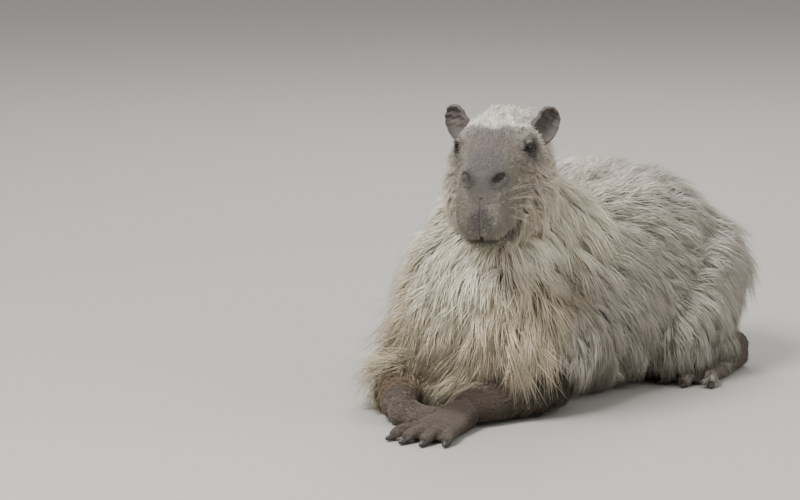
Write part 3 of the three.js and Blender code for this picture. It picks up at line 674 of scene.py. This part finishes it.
coatGuides = [
    headGuide((0, 0, -20), (0, 0.3, 1), 3, 0.7, "nose"),
    headGuide((0, -4, -56), (0, 0.3, -1), 4, 0.7, "nose"),
    headGuide((0, 40, 30), (0, 1, 0.3), 7, 0.8, "nose"),
    headGuide((0, 80, 42), (0, 1, 0.2), 10, 0.9, "forehead"),
    headGuide((0, 118, 54), (0, 1, 0.1), 13, 1.0, "forehead"),
    headGuide((0, 146, 62), (0, 0.9, 0.6), 26, 1.1, "crown"),
    headGuide((0, 186, 70), (0, 0.8, 0.7), 38, 1.3, "crown"),
    headGuide((0, 230, 62), (0, 1, 0.1), 54, 1.5, "crown"),
    headGuide((0, 20, -112), (0, 0.5, -1), 15, 0.9, "lip"),
    # painted shadow under the jaw
    headGuide((0, 60, -116), (0, 1, -0.4), 20, 1.1, "chin"),
]
for side in (1, -1):
    coatGuides += [
        headGuide((28 * side, 0, -46), (0.6 * side, 0.6, -0.6), 9, 0.8, "muzzle"),
        headGuide((40 * side, 30, -20), (0.1 * side, 1, -0.3), 9, 0.8, "muzzle"),
        headGuide((40 * side, 26, -60), (0.5 * side, 0.6, -0.8), 13, 0.7, "muzzle"),
        headGuide((20 * side, 20, -100), (0.4 * side, 0.7, -0.9), 13, 0.8, "lip"),
        headGuide((44 * side, 50, -82), (0.5 * side, 0.7, -0.9), 18, 0.8, "cheek"),
        headGuide((48 * side, 70, -40), (0.4 * side, 0.9, -0.7), 18, 0.8, "cheek"),
        headGuide((56 * side, 100, -14), (0.2 * side, 1, -0.4), 18, 1.0, "cheek"),
        headGuide((58 * side, 106, -66), (0.8 * side, 0.5, -0.9), 40, 0.9, "whisker"),
        headGuide((58 * side, 128, -70), (0.7 * side, 0.6, -0.9), 46, 1.1, "whisker"),
        # painted shadow under the jaw
        headGuide((30 * side, 90, -112), (0.4 * side, 0.8, -0.9), 30, 1.2, "chin"),
        headGuide((66 * side, 150, -30), (0.9 * side, 0.4, -0.8), 54, 1.3, "whisker"),
        headGuide((66 * side, 160, -80), (0.7 * side, 0.6, -1), 58, 1.4, "ruff"),
        headGuide((64 * side, 196, -50), (0.6 * side, 0.7, -0.9), 64, 1.5, "ruff"),
        headGuide((40 * side, 150, -112), (0.4 * side, 0.5, -1), 50, 1.4, "ruff"),
        headGuide((50 * side, 150, 36), (0.1 * side, 1, 0.2), 14, 1.0, "forehead"),
        headGuide((46 * side, 172, 56), (0.2 * side, 1, 0.5), 28, 1.2, "crown"),
        headGuide((66 * side, 186, 4), (0.7 * side, 0.8, -0.5), 46, 1.3, "whisker"),
    ]
bodyGuides = [
    ((40, 60, 420), (-0.1, 1, -0.2), 66, 1.5, "ruff"),
    ((-60, 60, 330), (-0.7, 0.3, -1), 84, 1.55, "ruff"),
    ((150, 60, 330), (0.5, 0.4, -1), 90, 1.55, "ruff"),
    ((20, -60, 250), (-0.3, -0.2, -1), 84, 1.55, "ruff"),
    ((150, 120, 300), (0.4, 0.8, -0.9), 96, 1.55, "ruff"),
    ((-110, 100, 280), (-0.5, 0.6, -0.9), 88, 1.55, "ruff"),
    ((-60, -40, 180), (-0.6, 0, -1), 90, 1.55, "breast"),
    ((100, -40, 180), (0.1, 0, -1), 88, 1.55, "breast"),
    ((-40, -60, 90), (-0.9, -0.1, -0.5), 84, 1.5, "fringe"),
    ((60, -60, 80), (-0.7, -0.3, -0.7), 74, 1.5, "fringe"),
    ((-100, -10, 110), (-0.9, 0, -0.7), 98, 1.5, "fringe"),
    # painted shadow on the flank under the mane tips
    ((160, 60, 215), (0.2, 0.7, -0.9), 60, 1.5, "shade"),
    ((168, 120, 200), (0.2, 1, -0.7), 66, 1.5, "flank"),
    ((0, 160, 350), (0, 1, -0.1), 76, 1.5, "back"),
    ((0, 330, 360), (0, 1, -0.1), 72, 1.5, "back"),
    ((0, 500, 330), (0, 1, -0.4), 74, 1.5, "rump"),
    ((0, 640, 220), (0, 0.6, -1), 74, 1.5, "rump"),
    ((170, 200, 240), (0.1, 1, -0.7), 74, 1.5, "flank"),
    ((-170, 200, 240), (-0.1, 1, -0.7), 74, 1.5, "flank"),
    ((190, 350, 200), (0.1, 1, -0.6), 70, 1.5, "flank"),
    ((-190, 350, 200), (-0.1, 1, -0.6), 70, 1.5, "flank"),
    ((160, 540, 240), (0.3, 0.8, -0.9), 70, 1.5, "rump"),
    ((-160, 540, 240), (-0.3, 0.8, -0.9), 70, 1.5, "rump"),
    ((190, 300, 80), (0, 0.6, -1), 56, 1.5, "flank"),
    ((-190, 300, 80), (0, 0.6, -1), 56, 1.5, "flank"),
    ((200, 450, 150), (0, 0.6, -1), 54, 1.4, "rump"),
    ((-200, 450, 150), (0, 0.6, -1), 54, 1.4, "rump"),
    ((200, 520, 120), (0, 0.6, -1), 50, 1.4, "rump"),
    ((-200, 520, 120), (0, 0.6, -1), 50, 1.4, "rump"),
    ((150, 60, 120), (0, -0.3, -1), 46, 1.4, "flank"),
    ((-150, 60, 120), (0, -0.3, -1), 46, 1.4, "flank"),
    ((150, 20, 60), (-0.3, -1, -0.3), 17, 1.2, "arm"),
    ((-150, 20, 66), (-0.4, -0.5, -0.8), 46, 1.3, "flank"),
    ((100, -60, 60), (-0.3, -1, -0.2), 14, 1.1, "arm"),
    ((-66, -112, 52), (0.8, -1, -0.2), 16, 1.1, "leg"),
    ((-120, -40, 76), (-0.7, -0.4, -0.6), 66, 1.5, "fringe"),
    ((-150, 0, 40), (-0.5, -0.6, -0.6), 34, 1.4, "leg"),
    ((76, -130, 50), (0, -1, -0.2), 8, 0.9, "arm"),
    ((76, -232, 32), (0, -1, -0.2), 5, 0.8, "foot"),
    ((-20, -160, 50), (1, 0.3, -0.2), 8, 0.9, "foot"),
    ((180, 560, 40), (0, -1, -0.2), 9, 0.9, "foot"),
    ((190, 410, 28), (0, -1, -0.2), 5, 0.8, "foot"),
    ((-180, 570, 40), (0, -1, -0.2), 9, 0.9, "foot"),
    ((-190, 424, 28), (0, -1, -0.2), 5, 0.8, "foot"),
    ((206, 400, 70), (0, 0.2, -1), 44, 1.4, "rump"),
    ((-206, 410, 70), (0, 0.2, -1), 44, 1.4, "rump"),
]
for where, lie, length, width, tone in bodyGuides:
    coatGuides.append((np.array(where, float), np.array(lie, float), length, width, tone))

guidePlaces = np.array([guide[0] for guide in coatGuides])
guideLies = np.array([guide[1] / np.linalg.norm(guide[1]) for guide in coatGuides])
guideSizes = np.array([[guide[2], guide[3]] for guide in coatGuides], float)
guideTones = np.array([colourOf(*coatTones[guide[4]]) for guide in coatGuides])
# Face marks in the head's own frame: place, reach, colour and strength
faceMarks = [
    ((50, 122, 46), (12, 17, 11), (196, 186, 172), 0.75),
    ((62, 130, 8), (12, 16, 6), (176, 166, 152), 0.5),
    ((53, 126, 26), (18, 22, 14), (44, 38, 34), 0.9),
    ((56, 126, 26), (14, 17, 11), (18, 14, 12), 1.0),
    ((30, 120, 62), (16, 40, 20), (112, 101, 90), 0.5),
    ((0, -2, -28), (17, 18, 12), (106, 92, 86), 0.7),
    # near-black over the nostrils: painted shade in the nostril openings
    ((26, 6, 2), (14, 34, 11), (18, 14, 13), 1.0),
    ((0, 16, -106), (28, 22, 8), (170, 160, 138), 0.7),
    # dark mark under the chin: painted shadow under the jaw
    ((0, 60, -122), (44, 60, 8), (70, 60, 48), 0.7),
    # dark line down the philtrum: painted shade in the groove
    ((0, -6, -66), (2.6, 20, 24), (94, 84, 75), 0.55),
]


def markTones(points, tones):
    where = toHead(points)
    where[:, 0] = np.abs(where[:, 0])
    for centre, reach, tone, strength in faceMarks:
        share = strength * np.exp(-((np.abs(where - centre) / reach) ** 2.6).sum(1))[:, None]
        tones = tones * (1 - share) + np.array(colourOf(*tone)) * share
    white = (np.clip((where[:, 2] - 38) / 10, 0, 1)
             * np.clip((where[:, 1] - 126 - 0.5 * where[:, 0]) / 9, 0, 1))[:, None]
    tones = tones * (1 - white) + np.array(colourOf(*coatTones["crown"])) * white
    # dark band along the mouth line: painted shade in the gap under the overhanging upper lip
    line = mouthLine(where)
    share = np.exp(-(np.abs(where[:, 2] - line + 2) / 9.0) ** 4) * (where[:, 1] < 92)
    share = (share * np.clip((92 - where[:, 1]) / 30, 0, 1) * 0.85)[:, None]
    return tones * (1 - share) + np.array(colourOf(46, 37, 32)) * share


def coatAt(points):  # lie, length and width, and colour at places in the throat frame
    lies, sizes, tones = [], [], []
    for chunk in np.array_split(points, max(1, len(points) // 4000)):
        distance = ((chunk[:, None] - guidePlaces[None]) ** 2).sum(2) + 30
        weight = distance ** -2.6
        weight /= weight.sum(1)[:, None]
        lies.append(weight @ guideLies)
        sizes.append(weight @ guideSizes)
        tones.append(markTones(chunk, weight @ guideTones))
    return np.concatenate(lies), np.concatenate(sizes), np.concatenate(tones)


skinPoints = inThroatFrame(pointsOf(skinObject))
_, skinSizes, skinTones = coatAt(skinPoints)
rootShade = np.clip(1.0 - skinSizes[:, :1] / 130, 0.5, 0.95)
colourLayer = skinObject.data.color_attributes.new("coatColour", "FLOAT_COLOR", "POINT")
colourLayer.data.foreach_set("color", np.concatenate(
    [skinTones * rootShade, np.ones((len(skinTones), 1))], 1).astype(np.float32).ravel())

# Tufts: closed three-sided blades, rooted in the skin; the long ones gather in locks

tuft = {"long": {"pieces": 6, "perPiece": 16500, "stages": [(-0.05, 0.9), (0.5, 0.85)],
                 "rootToneAndShade": 0.55},
        "short": {"pieces": 3, "perPiece": 16500, "stages": [(-0.1, 0.9), (0.45, 0.85)],
                  "rootToneAndShade": 0.82, "lift": (0.16, 0.42)},
        "limit": 16, "seed": 5, "locks": 4200, "cheekLift": 1.55, "patch": 0.003}


def unwrapSkin(points):  # each place's spot on an unwrap of the skin's own shape
    low, high = points.min(0), points.max(0)
    span = (points - low) / (high - low)
    angle = np.arctan2(points[:, 2] - 160, points[:, 0]) / (2 * math.pi) + 0.5
    return np.stack([0.02 + 0.96 * span[:, 1], 0.02 + 0.96 * angle], 1)


def sampleSkin(count, generator, densityOf):
    mesh = skinObject.data
    mesh.calc_loop_triangles()
    triangles = np.empty(len(mesh.loop_triangles) * 3, np.int32)
    mesh.loop_triangles.foreach_get("vertices", triangles)
    corners = inThroatFrame(pointsOf(skinObject))[triangles.reshape(-1, 3)]
    crossed = np.cross(corners[:, 1] - corners[:, 0], corners[:, 2] - corners[:, 0])
    area = np.linalg.norm(crossed, axis=1) / 2
    normals = crossed / (area[:, None] * 2 + 1e-9)
    weight = area * densityOf(corners.mean(1), normals)
    chosen = generator.choice(len(area), count, p=weight / weight.sum())
    u, v = generator.random(count), generator.random(count)
    flip = u + v > 1
    u, v = np.where(flip, 1 - u, u), np.where(flip, 1 - v, v)
    a, b, c = corners[chosen, 0], corners[chosen, 1], corners[chosen, 2]
    return a + (b - a) * u[:, None] + (c - a) * v[:, None], normals[chosen]


def bareAt(points):  # nostrils, mouth, philtrum and lids grow no hair
    where = toHead(points)
    aside, behind, high = np.abs(where[:, 0]), where[:, 1], where[:, 2]
    along, over = nostrilSlant(where)
    bare = (np.hypot(along / 10, over / 7) < 1) & (behind < face["muzzleEnd"])
    line = mouthLine(where)
    bare |= (np.abs(high - line) < 3) & (behind < 78)
    bare |= (aside < 2) & (behind < 20) & (high < -30) & (high > line)
    fromEye = np.stack([aside, behind, high], 1) - eyePlace
    reach = np.linalg.norm(fromEye, axis=1)
    return bare | ((reach < 16.5) & (fromEye @ outwardEye > reach * 0.3))


def densityOf(kind):
    def density(centres, normals):
        _, sizes, _ = coatAt(centres)
        chosen = (sizes[:, 0] >= tuft["limit"]) == (kind == "long")
        under = np.where(normals[:, 2] > -0.75, 1.0, 0.3)
        face = np.where(toHead(centres)[:, 1] < 190, 1.9, 1.0)
        return chosen * ~bareAt(centres) * under * face / (sizes[:, 0] * sizes[:, 1]) ** 0.7 + 1e-9
    return density


lockGenerator = np.random.default_rng(tuft["seed"] + 90)
lockRoots, _ = sampleSkin(tuft["locks"], lockGenerator, densityOf("long"))
lockTree = KDTree(len(lockRoots))
for index, root in enumerate(lockRoots):
    lockTree.insert(Vector(root), index)
lockTree.balance()
lockTurns = lockGenerator.normal(0, 0.26, (len(lockRoots), 3))
lockLifts = lockGenerator.uniform(0.2, 0.72, len(lockRoots))
lockLengths = lockGenerator.uniform(0.8, 1.22, len(lockRoots))
lockShades = lockGenerator.normal(1, 0.09, len(lockRoots))


def growTufts(name, kind, roots, normals, generator, paint):
    lies, sizes, tones = coatAt(roots)
    count = len(roots)
    length = sizes[:, 0] * generator.uniform(0.78, 1.16, count)
    width = sizes[:, 1] * generator.uniform(0.75, 1.25, count)
    shade = generator.normal(1.0, 0.08, count)
    if kind == "long":
        nearest = np.array([lockTree.find(Vector(root))[1] for root in roots])
        lies = lies + lockTurns[nearest] + generator.normal(0, 0.1, (count, 3))
        lift = lockLifts[nearest] + generator.normal(0, 0.07, count)
        behind = toHead(roots)[:, 1]
        lift *= np.clip(sizes[:, 0] / 55, 0.45, 1)
        lift *= np.where((behind > 84) & (behind < 215), tuft["cheekLift"], 1)
        length *= lockLengths[nearest]
        shade *= lockShades[nearest]
        gather = (lockRoots[nearest] - roots) * generator.uniform(0.5, 0.9, count)[:, None]
    else:
        lies = lies + generator.normal(0, 0.13, (count, 3))
        lift = generator.uniform(*tuft["short"]["lift"], count)
        shade *= generator.normal(1, 0.14, count)
        gather = np.zeros((count, 3))
    lift = np.clip(lift, 0.1, 0.8)
    lies -= normals * (lies * normals).sum(1)[:, None]
    lies /= np.linalg.norm(lies, axis=1)[:, None] + 1e-9
    aside = np.cross(normals, lies)
    drift = generator.normal(0, 0.08, count)
    sag = length * 0.16 * np.clip(1.1 - normals[:, 2], 0, 1)

    def spineAt(at):
        high = length * lift * (at - 0.62 * max(at, 0) ** 2)
        spine = (roots + lies * (length * at)[:, None] + normals * high[:, None]
                 + aside * (length * drift * max(at, 0) ** 2)[:, None]
                 + gather * max(at, 0) ** 1.3)
        spine[:, 2] -= sag * max(at, 0) ** 2
        return spine

    stages = tuft[kind]["stages"]
    places = []
    for at, wide in stages:
        spine, half = spineAt(at), width * wide / 2
        places += [spine + aside * half[:, None], spine - aside * half[:, None],
                   spine + normals * (half * 0.62)[:, None]]
    places.append(spineAt(1.0))
    points = np.stack(places, 1)
    points[:, :, 2] = np.maximum(points[:, :, 2], 0.8)
    corners = len(places)
    pattern = [(0, 1, 2)]
    for row in range(0, corners - 4, 3):
        for a, b in ((0, 1), (1, 2), (2, 0)):
            pattern += [(row + a, row + 3 + a, row + 3 + b), (row + a, row + 3 + b, row + b)]
    last, tip = corners - 4, corners - 1
    pattern += [(last, tip, last + 1), (last + 1, tip, last + 2), (last + 2, tip, last)]
    pattern = np.array(pattern)
    faces = (pattern[None] + (np.arange(count) * corners)[:, None, None]).reshape(-1, 3)
    mesh = bpy.data.meshes.new(name)
    mesh.vertices.add(count * corners)
    mesh.vertices.foreach_set("co", place(points.reshape(-1, 3)).astype(np.float32).ravel())
    mesh.loops.add(len(faces) * 3)
    mesh.polygons.add(len(faces))
    mesh.loops.foreach_set("vertex_index", faces.astype(np.int32).ravel())
    mesh.polygons.foreach_set("loop_start", np.arange(0, len(faces) * 3, 3, dtype=np.int32))
    mesh.update(calc_edges=True)
    mesh.polygons.foreach_set("use_smooth", np.ones(len(faces), bool))
    # hair darkens towards the root, partly its own darker base and partly painted shade in the
    # depth of the coat; tips are paler
    rootToneAndShade = tuft[kind]["rootToneAndShade"]
    toneAndShadeAlong = [rootToneAndShade + (1.12 - rootToneAndShade) * min(at + 0.15, 1) ** 0.8 if at > 0 else rootToneAndShade
            for at, _ in stages for _ in range(3)] + [1.16]
    tones = np.clip(tones * shade[:, None], 0.004, 1)
    colours = np.repeat(tones, corners, 0) * np.tile(toneAndShadeAlong, count)[:, None]
    layer = mesh.color_attributes.new("coatColour", "FLOAT_COLOR", "POINT")
    layer.data.foreach_set("color", np.concatenate(
        [colours, np.ones((count * corners, 1))], 1).astype(np.float32).ravel())
    across = np.array([0, 1, 0.5] * len(stages) + [0.5])
    along = np.array([row / len(stages) for row in range(len(stages)) for _ in range(3)] + [1.0])
    patch = np.stack([across, along], 1)[None] * tuft["patch"]
    spread = (unwrapSkin(roots)[:, None] + patch).reshape(-1, 2)
    bake = mesh.uv_layers.new(name="OFBake")
    bake.data.foreach_set("uv", spread[faces.ravel()].astype(np.float32).ravel())
    mesh.materials.append(paint)
    thing = bpy.data.objects.new(name, mesh)
    scene.collection.objects.link(thing)
    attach(thing, "root")
    return thing


hairPaint = Graph("hairPaint")
hairTone = hairPaint.attribute("coatColour", "Color")
hairMaterial = hairPaint.feed(Base_Color=hairTone, Roughness=0.58)
hairPaint.shader.inputs["Sheen Weight"].default_value = 0.12
for kind in ("long", "short"):
    for index in range(tuft[kind]["pieces"]):
        generator = np.random.default_rng(tuft["seed"] + index + (40 if kind == "short" else 0))
        roots, normals = sampleSkin(tuft[kind]["perPiece"], generator, densityOf(kind))
        growTufts("coat_" + kind + "_" + str(index + 1), kind, roots, normals, generator,
                  hairMaterial)
print("coat grown")

# Whiskers: long pale bristles on the sides of the muzzle

whisker = {"count": 15, "length": (60, 125), "thick": 0.2, "widest": 0.215}
whiskerGenerator = np.random.default_rng(31)
whiskerPoints, whiskerFaces = [], []
for side in (1, -1):
    for index in range(whisker["count"]):
        row, along = index % 4, index // 4
        root = np.array([(40 + along * 0.6) * side, 14 + along * 9.0, -18 - row * 13.0])
        heading = np.array([(1.0 - 0.04 * along) * side, -0.15 + 0.1 * along, 0.35 - 0.2 * row])
        heading += whiskerGenerator.normal(0, 0.16, 3)
        heading /= np.linalg.norm(heading)
        reach = whiskerGenerator.uniform(*whisker["length"])
        tip = place(fromHead(root + heading * reach))
        reach *= min(1, whisker["widest"] / abs(tip[0]))
        aside = np.cross(heading, (0, 0, 1.0))
        aside /= np.linalg.norm(aside)
        over = np.cross(aside, heading)
        first = len(whiskerPoints)
        for step in range(7):
            t = step / 6
            spine = root + heading * reach * t + np.array((0, 0.22, -0.2)) * reach * t ** 2
            thick = whisker["thick"] * (1 - 0.85 * t)
            for turn in (0, 2.1, 4.2):
                whiskerPoints.append(spine + aside * thick * math.cos(turn)
                                     + over * thick * math.sin(turn))
        for step in range(6):
            for a, b in ((0, 1), (1, 2), (2, 0)):
                low = first + step * 3
                whiskerFaces.append((low + a, low + b, low + 3 + b, low + 3 + a))
        whiskerFaces += [(first + 2, first + 1, first), (first + 18, first + 19, first + 20)]
whiskers = meshObject("whiskers", place(fromHead(np.array(whiskerPoints))), whiskerFaces)
makeActive(whiskers)
bpy.ops.object.mode_set(mode="EDIT")
bpy.ops.mesh.select_all(action="SELECT")
bpy.ops.mesh.normals_make_consistent(inside=False)
bpy.ops.object.mode_set(mode="OBJECT")
whiskerPaint = Graph("whiskerPaint")
whiskers.data.materials.append(whiskerPaint.feed(Base_Color=(*colourOf(176, 166, 150), 1),
                                                 Roughness=0.45))
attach(whiskers, "root")
print("whiskers set")

# Eyes

for side, name in ((1, "left"), (-1, "right")):
    centre = place(fromHead((eye["place"][0] * side, *eye["place"][1:])))
    bpy.ops.mesh.primitive_uv_sphere_add(segments=48, ring_count=32, radius=eye["radius"] * mm,
                                         location=centre)
    ball = bpy.context.active_object
    ball.name = "eyeball_" + name
    makeActive(ball)
    bpy.ops.object.shade_smooth()
    bpy.ops.object.transform_apply(location=True, rotation=True, scale=True)
    eyePaint = Graph("eyePaint_" + name)
    ball.data.materials.append(eyePaint.feed(Base_Color=(0.006, 0.004, 0.003, 1), Roughness=0.1,
                                                Specular_IOR_Level=0.35))
    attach(ball, "root")
    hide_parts("eye_" + name)
print("eyes set")

# Claws keep the frame's own solids

clawPaint = Graph("clawPaint")
clawMaterial = clawPaint.feed(Base_Color=(0.035, 0.028, 0.024, 1), Roughness=0.42)
for name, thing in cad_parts.items():
    if "claw" in name:
        thing.data.materials.clear()
        thing.data.materials.append(clawMaterial)
print("claws painted")
